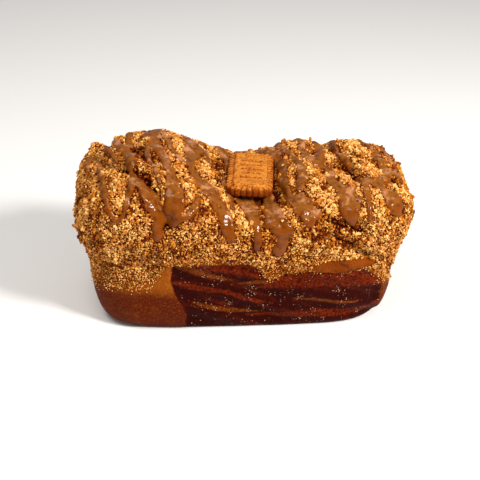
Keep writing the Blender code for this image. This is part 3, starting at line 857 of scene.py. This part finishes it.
class BABKA_OT_crust(bpy.types.Operator):
    """The bread itself: its crust, the clefts of the twist and the open swirl of filling"""

    bl_idname = "babka.crust"
    bl_label = "Bake the Crust"

    def execute(self, context):
        bread = context.scene.babka_bread
        piece = bread_mesh(bread)
        places = vertex_places(piece.data)
        ragged = CRUST_RAGGED * noise_at(places, CRUST_RAGGED_SIZE)
        crumbled = 1 - smooth_step((depth_below(CRUMBLE_EDGE, places) + ragged) / CRUST_FADE)
        oval = bare_dough(places)
        values = {
            "crumbled": crumbled * (1 - smooth_step(oval * BARE_DOUGH["crispness"])),
            "fine": smooth_step((depth_below(GRAIN_EDGE, places) + ragged) / CRUST_FADE),
            "cleft": bare_cleft(places, bread),
            "swirl": swirl_share(places),
            "orange": band_share(places, ORANGE_BANDS),
            "red": band_share(places, RED_BANDS),
            "dough": oval,
            "front_x": front_x(places),
        }
        for name, value in values.items():
            store(piece.data, name, value)
        piece.data.shade_smooth()
        finish_piece(piece, crust_material(bread), "crumble_crust", "loaf")
        return {"FINISHED"}


def surface_at(tree, x, turn):
    """Place and outward normal on the bread at x metres along and turn degrees round."""
    angle = math.radians(turn)
    out = Vector((0, -math.sin(angle), math.cos(angle)))
    place, normal, _, _ = tree.ray_cast(Vector((x, 0, MIDDLE_LINE_HEIGHT)), out)
    return place, normal


def bread_tree():
    """The bread's surface, for finding places on it."""
    crust = bpy.data.objects["crust"]
    return BVHTree.FromObject(crust, bpy.context.evaluated_depsgraph_get())


def middle_line(tree, stops):
    """(place, normal, direction, half width) at even steps along a ribbon of caramel."""
    line = [(*surface_at(tree, x * MM, turn), width * MM / 2) for x, turn, width in curve_through(stops)]
    spaced = []
    for before, here, after in zip(line, line[1:], line[2:]):
        if not spaced or (here[0] - spaced[-1][0]).length >= BEAD_STEP:
            spaced.append((here[0], here[1], (after[0] - before[0]).normalized(), here[2]))
    return spaced


def caramel_beads(tree):
    """(place, normal, direction, radius, share of the full height) of the beads that make up the caramel.

    They lie on the bread in rows across each ribbon, and swell where it ends in a drip.
    """
    beads = []
    for number, stops in enumerate(RIBBONS):
        spaced = middle_line(tree, stops)
        for i, (place, normal, along, half) in enumerate(spaced):
            from_end = (len(spaced) - 1 - i) * BEAD_STEP
            gone = i * BEAD_STEP
            drip = DRIP_SHARE * float(bump(from_end, half * DRIP_FROM_END, half * DRIP_LENGTH))
            high = (RIBBON_SHARE + drip) * min(1.0, 0.5 + half / (2 * FULL_HALF_WIDTH))
            sway = SWAY * half * noise.noise(Vector((gone / SWAY_LENGTH, number, SWAY_LAYER)))
            half *= 1 + WAVER * noise.noise(Vector((gone / WAVER_LENGTH, number, 0)))
            across = normal.cross(along).normalized()
            radius = min(half, WIDEST_BEAD)
            rows = math.ceil(half / BEAD_ROW)
            for row in range(rows):
                aside = (half - radius) * (2 * row / (rows - 1) - 1) if rows > 1 else 0.0
                spot, facing, _, _ = tree.find_nearest(place + across * (sway + aside))
                beads.append((spot, facing, along, radius, high))
    return beads


def caramel_drops(caramel, tree):
    """A mesh of flattened drops, one on each bead."""
    drop = bmesh.new()
    bmesh.ops.create_icosphere(drop, subdivisions=2, radius=1.0)
    shape, triangles = shape_of(drop)
    places = []
    for place, normal, along, radius, high in caramel_beads(tree):
        across = normal.cross(along).normalized()
        axes = np.array([along * radius * BEAD_LENGTH, across * radius, normal * caramel.thickness * high])
        places.append(shape @ axes + np.array(place + normal * CARAMEL_LIFT))
    mesh = bpy.data.meshes.new("caramel")
    mesh.from_pydata(np.concatenate(places), [], copied_triangles(triangles, len(shape), len(places)))
    return mesh


def run_together(piece, caramel):
    """Melts a piece's drops into one smooth skin, and makes that a little lumpy."""
    melt = piece.modifiers.new("melt", "REMESH")
    melt.mode = "VOXEL"
    melt.voxel_size = caramel.voxel
    settle = piece.modifiers.new("settle", "SMOOTH")
    settle.iterations = CARAMEL_SMOOTHING
    graph = bpy.context.evaluated_depsgraph_get()
    melted = bpy.data.meshes.new_from_object(piece.evaluated_get(graph))
    piece.modifiers.clear()
    piece.data = melted
    lumps = CARAMEL_LUMP * noise_at(vertex_places(melted), CARAMEL_LUMP_SIZE)
    move_vertices(melted, vertex_places(melted) + vertex_normals(melted) * lumps[:, None])


def caramel_material(caramel):
    shader = Shader("caramel")
    level = shader.attribute("level")
    settled = level + (shader.noise(6 * MM, 3.0) - 0.5) * 1.3
    colour = shader.mix(settled.step(0.45, 1.0), caramel.thin, caramel.thick)
    # Painted sheen: pale patches on the caramel that faces up, in place of its reflected sheen
    painted_sheen = level.step(0.5, 0.9) * shader.noise(11 * MM, 3.0).step(0.5, 0.66)
    colour = shader.mix(painted_sheen * 0.8, colour, caramel.painted_sheen)
    colour = shader.mix(shader.noise(4 * MM, 4.0).step(0.46, 0.7) * 0.7, colour, caramel.deep)
    shader.bump(shader.noise(2.6 * MM, 2.0), 0.2 * MM)
    shader.set(Base_Color=colour, Roughness=0.35, Specular_IOR_Level=0.02)
    shader.set(Coat_Weight=0.28, Coat_Roughness=0.12)
    return shader.material


class BABKA_OT_caramel(bpy.types.Operator):
    """The ribbons, drips and pools of caramel, poured over the crown and run together"""

    bl_idname = "babka.caramel"
    bl_label = "Pour the Caramel"

    def execute(self, context):
        caramel = context.scene.babka_caramel
        piece = add_object("caramel", caramel_drops(caramel, bread_tree()))
        run_together(piece, caramel)
        store(piece.data, "level", vertex_normals(piece.data)[:, 2])
        piece.data.shade_smooth()
        finish_piece(piece, caramel_material(caramel), "crumble_crust")
        return {"FINISHED"}


def grain_shapes(draw, parts, faces):
    """Rough grains of about unit width, each grown together from so many parts with 20 or 8 faces.

    Returns (vertices, triangles) of each.
    """
    shapes = []
    for _ in range(GRAIN_SHAPES):
        bm = bmesh.new()
        for _ in range(parts):
            radius = 0.5 if parts == 1 else draw.uniform(*PART_RADII)
            if faces == 20:
                made = bmesh.ops.create_icosphere(bm, subdivisions=1, radius=radius)["verts"]
            else:
                made = bmesh.ops.create_uvsphere(bm, u_segments=4, v_segments=2, radius=radius)["verts"]
            shift = Vector([draw.uniform(-PART_SHIFT, PART_SHIFT) if parts > 1 else 0.0 for _ in range(3)])
            for vert in made:
                vert.co = vert.co * draw.uniform(*GRAIN_ROUGHNESS) + shift
        length, height = draw.uniform(*GRAIN_LENGTHS), draw.uniform(*GRAIN_HEIGHTS)
        bmesh.ops.scale(bm, vec=(length, 1.0, height), verts=bm.verts)
        shapes.append(shape_of(bm))
    return shapes


def random_turns(draw, count):
    """Rotation matrices that turn count grains every way alike."""
    quaternions = draw.normal(size=(count, 4))
    w, x, y, z = (quaternions / np.linalg.norm(quaternions, axis=1)[:, None]).T
    return np.stack(
        (
            1 - 2 * (y * y + z * z), 2 * (x * y - z * w), 2 * (x * z + y * w),
            2 * (x * y + z * w), 1 - 2 * (x * x + z * z), 2 * (y * z - x * w),
            2 * (x * z - y * w), 2 * (y * z + x * w), 1 - 2 * (x * x + y * y),
        ),
        axis=1,
    ).reshape(-1, 3, 3)


def random_places(draw, mesh, count):
    """Places spread evenly over a mesh, with their normals."""
    mesh.calc_loop_triangles()
    corners = np.empty(len(mesh.loop_triangles) * 3, int)
    mesh.loop_triangles.foreach_get("vertices", corners)
    a, b, c = vertex_places(mesh)[corners.reshape(-1, 3)].transpose(1, 0, 2)
    normals = np.cross(b - a, c - a)
    areas = np.linalg.norm(normals, axis=1)
    chosen = draw.choice(len(areas), count, p=areas / areas.sum())
    first, second = draw.random((2, count, 1))
    fold = first + second > 1
    first, second = np.where(fold, 1 - first, first), np.where(fold, 1 - second, second)
    a, b, c = a[chosen], b[chosen], c[chosen]
    return a + first * (b - a) + second * (c - a), normals[chosen] / areas[chosen][:, None]


def ribbon_finder(tree):
    """A search tree of the caramel's beads and their radii."""
    beads = caramel_beads(tree)
    finder = kdtree.KDTree(len(beads))
    for index, bead in enumerate(beads):
        finder.insert(bead[0], index)
    finder.balance()
    return finder, [bead[3] for bead in beads]


def beyond_ribbons(places, finder, radii):
    """How far each place lies outside the nearest ribbon's edge; inside the ribbon it is negative."""
    found = [finder.find(place) for place in places]
    return np.array([away - radii[index] for _, index, away in found])


def clear_of_biscuit(places):
    """False for each place under or against the biscuit."""
    biscuit = bpy.context.scene.babka_biscuit
    laid = np.array(BISCUIT_LAID.inverted())
    x, y, _ = (places @ laid[:3, :3].T + laid[:3, 3]).T
    inside = abs(x) < biscuit.width / 2 + BISCUIT_SPACE
    inside &= abs(y) < biscuit.length / 2 + BISCUIT_SPACE
    return ~(inside & (places[:, 2] > BISCUIT_ABOVE))


def crumb_share(kind, places):
    """How thickly crumbs of a kind lie at places: all above its edge, none below its fade."""
    ragged = EDGE_RAGGED * noise_at(places, EDGE_RAGGED_SIZE)
    fading = kind["fade"] * read_stops(EDGE_FADE, front_x(places) / MM)
    share = 1 - smooth_step((depth_below(kind["edge"], places) + ragged) / fading)
    share *= 1 - CLEFT_BARE * bare_cleft(places, bpy.context.scene.babka_bread)
    if kind["edge"] is CRUMBLE_EDGE:
        below = read_stops(DUST_BELOW, front_x(places) / MM)
        low = smooth_step(depth_below(GRAIN_EDGE, places) / SWIRL_FADE)
        share *= DUST_ABOVE + (below - DUST_ABOVE) * low
    return share * (bare_dough(places) < OVAL_BARE) * (places[:, 2] > FOOT_BARE)


def crumb_places(kind, count, draw, mesh, finder):
    """Places for about count crumbs of a kind, their normals and how far beyond a ribbon they lie."""
    places, normals = random_places(draw, mesh, count * CANDIDATES)
    kept = draw.random(len(places)) < crumb_share(kind, places)
    places, normals = places[kept], normals[kept]
    beyond = beyond_ribbons(places, *finder)
    overlap = (OVERLAP + MORE_OVERLAP * draw.random(len(places)) ** 2) * MM
    kept = (beyond > -overlap) | (draw.random(len(places)) < kind["coated"])
    kept &= clear_of_biscuit(places)
    return places[kept][:count], normals[kept][:count], beyond[kept][:count]


def crumb_tones(draw, places, on_side, beyond):
    """How light each crumb is, from about 0 to 1."""
    bread = bpy.context.scene.babka_bread
    # Painted light and shade: crumbs on the knobs are lighter, those in the crevices between them darker
    tones = TONE_BASE + TONE_KNOB_LIGHT * crumble_knobs(places)
    tones += TONE_PATCHES * noise_at(places, TONE_PATCH_SIZE)
    # Each crumb's own chance, less the painted shade on the crumbs deep in the clefts
    tones += TONE_CHANCE * draw.normal(size=len(places)) - TONE_CLEFT_SHADE * bare_cleft(places, bread)
    # Painted shade on the crumbs that face sideways
    tones -= TONE_SIDE_SHADE * on_side
    tones -= TONE_STAIN * np.exp(-np.maximum(beyond, 0) / STAIN_REACH)
    tones += TONE_LOW * smooth_step(depth_below(GRAIN_EDGE, places) / SWIRL_FADE)
    # Caramel stains, painted shade and painted light, in patches
    return tones - carved(places, STAIN_AND_PAINTED_LIGHT_PATCHES, bread)


def joined_crumbs(name, shapes, chosen, middles, turned, tones):
    """One mesh of all the crumbs, each a turned copy of its chosen shape, with its tone."""
    vertices, triangles, shades = [], [], []
    start = 0
    for number, (shape, faces) in enumerate(shapes):
        mine = chosen == number
        grown = np.einsum("vj,njk->nvk", shape, turned[mine]) + middles[mine][:, None]
        vertices.append(grown.reshape(-1, 3))
        triangles.append(copied_triangles(faces, len(shape), mine.sum(), start))
        shades.append(np.repeat(tones[mine], len(shape)))
        start += mine.sum() * len(shape)
    joined = bpy.data.meshes.new(name)
    joined.from_pydata(np.concatenate(vertices), [], np.concatenate(triangles))
    store(joined, "tone", np.concatenate(shades))
    return joined


def scatter(name, kind, count, shapes, draw, mesh, finder):
    """Lays about count crumbs of a kind on the mesh, and joins them into one piece."""
    places, normals, beyond = crumb_places(kind, count, draw, mesh, finder)
    count = len(places)
    on_side = smooth_step((SIDE_STARTS - normals[:, 2]) / SIDE_STARTS)
    least, most = kind["widths"]
    widths = least + (most - least) * draw.random(count) ** SMALLER_POWER
    widths *= 1 - SIDE_SMALLER * on_side
    lift = widths * (0.5 - kind["sunk"]) + draw.random(count) ** 2 * STACKED
    turned = random_turns(draw, count) * widths[:, None, None]
    tones = crumb_tones(draw, places, on_side, beyond)
    chosen = draw.integers(len(shapes), size=count)
    middles = places + normals * lift[:, None]
    return add_object(name, joined_crumbs(name, shapes, chosen, middles, turned, tones))


def crumb_material(crumble):
    shader = Shader("crumble")
    tone = shader.attribute("tone") + (shader.noise(1.2 * MM, 2.0) - 0.5) * 0.5
    colour = shader.ramp(tone, (0.0, crumble.dark[:]), (1.0, crumble.light[:]), (0.5, crumble.middle[:]))
    golden = shader.ramp(tone, (0.0, crumble.dark[:]), (1.0, crumble.golden[:]), (0.5, crumble.ochre[:]))
    colour = shader.mix(shader.noise(9 * MM, 3.0).step(0.4, 0.7) * 0.6, colour, golden)
    shader.bump(shader.noise(0.6 * MM, 2.0), 0.15 * MM)
    shader.set(Base_Color=colour, Roughness=0.5, Specular_IOR_Level=0.06)
    return shader.material


class BABKA_OT_crumble(bpy.types.Operator):
    """The crumble: large, middling and small crumbs, spread over the crown and thinning down the sides"""

    bl_idname = "babka.crumble"
    bl_label = "Scatter the Crumble"

    def execute(self, context):
        crumble = context.scene.babka_crumble
        draw = np.random.default_rng(crumble.seed)
        grower = random.Random(crumble.seed)
        mesh = bpy.data.objects["crust"].data
        finder = ribbon_finder(bread_tree())
        material = crumb_material(crumble)
        for name, kind in CRUMB_PIECES.items():
            count = getattr(crumble, name.removeprefix("crumble_"))
            shapes = grain_shapes(grower, kind["parts"], kind["faces"])
            finish_piece(scatter(name, kind, count, shapes, draw, mesh, finder), material, "crumble_crust")
        return {"FINISHED"}


def rounded_outline(half_x, half_y, corner, count):
    """Evenly spaced points round a rounded rectangle, anticlockwise from the middle of its far side."""
    corner = max(corner, SMALL)
    loop = [Vector((0, half_y))]
    for quarter, (side_x, side_y) in enumerate(((-1, 1), (-1, -1), (1, -1), (1, 1)), 1):
        centre = Vector((side_x * (half_x - corner), side_y * (half_y - corner)))
        for i in range(POINTS_PER_CORNER):
            angle = math.radians(90 * quarter + 90 * i / (POINTS_PER_CORNER - 1))
            loop.append(centre + corner * Vector((math.cos(angle), math.sin(angle))))
    loop.append(loop[0])
    spans = [(b - a).length for a, b in zip(loop, loop[1:])]
    step = sum(spans) / count
    points = []
    gone = 0.0
    for a, b, span in zip(loop, loop[1:], spans):
        while len(points) < count and len(points) * step < gone + span - SMALL / count:
            points.append(a.lerp(b, (len(points) * step - gone) / span))
        gone += span
    return points


def biscuit_rings(biscuit):
    """Rings of the biscuit from its underside over its edge to its middle.

    Each is (inset from its edge, height, share of the scallops' depth, shade from 0 to 1).
    """
    top = biscuit.thickness / 2
    rings = [(inset * MM, up * MM - top, share, shade) for inset, up, share, shade in UNDER_RINGS]
    rings += [(inset * MM, top - down * MM, share, shade) for inset, down, share, shade in TOP_RINGS]
    inset = MIDDLE_INSET
    while inset < biscuit.width / 2 - MIDDLE_LEFT:
        rings.append((inset, top, 0.0, 0.0))
        inset += MIDDLE_STEP
    return rings


def pressed_depth(x, y):
    """Depth of the plain bars that are pressed into the biscuit's middle, every second one in two parts."""
    depth = 0.0
    for i in range(BAR_COUNT):
        bar_y = (i - (BAR_COUNT - 1) / 2) * BAR_PITCH
        parted = i % 2
        middle = (BAR_HALF_LENGTH + BAR_PART) / 2 * parted
        half = (BAR_HALF_LENGTH - BAR_PART) / 2 if parted else BAR_HALF_LENGTH
        across = max(0.0, abs(abs(x) - middle) - half)
        depth += BAR_DEPTH * float(bump(math.hypot(across, y - bar_y), 0, BAR_SOFTNESS))
    return depth


def ring_edges(bm, ring):
    return [bm.edges.get(pair) for pair in zip(ring, ring[1:] + ring[:1])]


def next_ring(bm, ring):
    """Extrudes a ring of vertices, and returns the new one in the same order."""
    made = bmesh.ops.extrude_edge_only(bm, edges=ring_edges(bm, ring))["geom"]
    new = {vert for vert in made if isinstance(vert, bmesh.types.BMVert)}
    others = [[edge.other_vert(vert) for edge in vert.link_edges] for vert in ring]
    return [next(vert for vert in linked if vert in new) for linked in others]


def close_ring(bm, ring):
    """Closes a ring with faces that run straight across it, from its first vertex to the opposite one."""
    for i in range(len(ring) // 2):
        corners = (ring[i], ring[i + 1], ring[-i - 1], ring[-i])
        bm.faces.new(list(dict.fromkeys(corners)))


def shape_ring(ring, layer, biscuit, inset, height, share, shade):
    """Lays a ring along the biscuit's outline with its scallops, and stores how dark it is painted:
    toasting with painted shade on its edge and underside, and painted shade in its grooves and bars.
    """
    half_x, half_y = biscuit.width / 2 - inset, biscuit.length / 2 - inset
    points = rounded_outline(half_x, half_y, biscuit.corner - inset, len(ring))
    for i, (vert, point) in enumerate(zip(ring, points)):
        notch = (1 - abs(math.sin(math.pi * (i / POINTS_PER_SCALLOP + 0.5)))) ** SCALLOP_POWER
        notch *= SCALLOP_DEPTH * share
        inward = Vector((point.x / half_x, point.y / half_y)).normalized()
        place = point - inward * notch
        groove = notch * GROOVE_SHARE if height > 0 else 0.0
        wobble = WOBBLE * noise.noise(Vector((*place, height)) / WOBBLE_SIZE)
        pressed = pressed_depth(place.x, place.y) if inset >= MIDDLE_INSET else 0.0
        vert.co = (*place, height - groove - pressed + wobble)
        shaded = shade + notch / SCALLOP_DEPTH * GROOVE_SHADE + pressed / BAR_DEPTH * BAR_SHADE
        vert[layer] = min(1.0, shaded)


def biscuit_mesh(biscuit):
    """The biscuit, extruded ring by ring from its underside to its middle and closed at both."""
    around = 2 * (biscuit.width + biscuit.length) - 2 * biscuit.corner
    scallops = round(around / SCALLOP_PITCH / 2) * 2
    bm = bmesh.new()
    layer = bm.verts.layers.float.new("shade")
    segments = scallops * POINTS_PER_SCALLOP
    first = bmesh.ops.create_circle(bm, cap_ends=False, radius=1.0, segments=segments)["verts"]
    ring = first
    for number, settings in enumerate(biscuit_rings(biscuit)):
        if number:
            ring = next_ring(bm, ring)
        shape_ring(ring, layer, biscuit, *settings)
    close_ring(bm, first)
    close_ring(bm, ring)
    bmesh.ops.recalc_face_normals(bm, faces=bm.faces)
    bmesh.ops.transform(bm, matrix=BISCUIT_LAID, verts=bm.verts)
    return bm


class BABKA_OT_biscuit(bpy.types.Operator):
    """The scalloped biscuit that lies across the saddle"""

    bl_idname = "babka.biscuit"
    bl_label = "Lay the Biscuit"

    def execute(self, context):
        biscuit = context.scene.babka_biscuit
        piece = piece_from("scalloped_biscuit", biscuit_mesh(biscuit))
        piece.data.shade_smooth()
        finish_piece(piece, biscuit_material(biscuit), "biscuit_bake", "biscuit")
        return {"FINISHED"}


def biscuit_material(biscuit):
    shader = Shader("biscuit_bake")
    blots = shader.noise(6 * MM, 4.0)
    fine = shader.noise(1.3 * MM, 3.0)
    # The stored shade: toasting with painted shade on the edge and underside, painted shade in the grooves
    # and bars
    shade = blots.step(0.35, 0.7) * 0.35 + fine.step(0.42, 0.62) * 0.55 + shader.attribute("shade") * 0.85
    shader.bump(fine + shader.grains(0.9 * MM) * 0.7, 0.4 * MM)
    colour = shader.mix(shade, biscuit.bake, biscuit.edge)
    shader.set(Base_Color=colour, Roughness=0.6, Specular_IOR_Level=0.05)
    return shader.material


def area_light(name, power, place, size, colour):
    light = bpy.data.lights.new(name, "AREA")
    light.size = size
    light.energy = power
    light.color = colour
    lamp = add_object(name, light)
    lamp.location = place
    lamp.rotation_euler = (LIT_POINT - Vector(place)).to_track_quat("-Z", "Y").to_euler()


class BABKA_OT_stage(bpy.types.Operator):
    """The pale floor, the studio lights and the camera"""

    bl_idname = "babka.stage"
    bl_label = "Set the Stage"

    def execute(self, context):
        stage = context.scene.babka_stage
        bm = bmesh.new()
        bmesh.ops.create_grid(bm, x_segments=1, y_segments=1, size=FLOOR_SIZE)
        floor = piece_from("floor", bm)
        shader = Shader("floor")
        shader.set(Base_Color=stage.floor, Roughness=0.9)
        floor.data.materials.append(shader.material)
        world = bpy.data.worlds.new("studio")
        world.use_nodes = True
        sky = world.node_tree.nodes["Background"]
        sky.inputs["Color"].default_value = SKY_COLOUR
        sky.inputs["Strength"].default_value = stage.sky
        context.scene.world = world
        area_light("key", stage.key_power, *KEY_LIGHT)
        area_light("fill", stage.fill_power, *FILL_LIGHT)
        context.scene.view_settings.view_transform = "Standard"
        camera = bpy.data.cameras.new("camera")
        camera.sensor_width = SENSOR_WIDTH
        camera.lens = SENSOR_WIDTH * FOCAL_PIXELS / FRAME_PIXELS
        holder = add_object("camera", camera)
        back = CAMERA_DOWN.cross(CAMERA_RIGHT)
        turned = Matrix((CAMERA_RIGHT, -CAMERA_DOWN, back)).transposed()
        holder.matrix_world = Matrix.Translation(CAMERA_PLACE) @ turned.to_4x4()
        context.scene.camera = holder
        return {"FINISHED"}


OPERATORS = (BABKA_OT_crust, BABKA_OT_caramel, BABKA_OT_crumble, BABKA_OT_biscuit, BABKA_OT_stage)


class BABKA_PT_pieces(bpy.types.Panel):
    """Lists the pieces of the loaf"""

    bl_label = "Babka Loaf"
    bl_space_type = "VIEW_3D"
    bl_region_type = "UI"
    bl_category = "Babka"

    def draw(self, context):
        for operator in OPERATORS:
            self.layout.operator(operator.bl_idname)
        for name, settings in SETTINGS.items():
            box = self.layout.box()
            for setting in settings.__annotations__:
                box.prop(getattr(context.scene, name), setting)


CLASSES = (*SETTINGS.values(), *OPERATORS, BABKA_PT_pieces)


def register():
    for each in CLASSES:
        bpy.utils.register_class(each)
    for name, settings in SETTINGS.items():
        setattr(bpy.types.Scene, name, PointerProperty(type=settings))


def unregister():
    for name in SETTINGS:
        delattr(bpy.types.Scene, name)
    for each in reversed(CLASSES):
        bpy.utils.unregister_class(each)


def main():
    register()
    for operator in OPERATORS:
        getattr(bpy.ops.babka, operator.bl_idname.split(".")[1])()


if __name__ == "__main__":
    main()
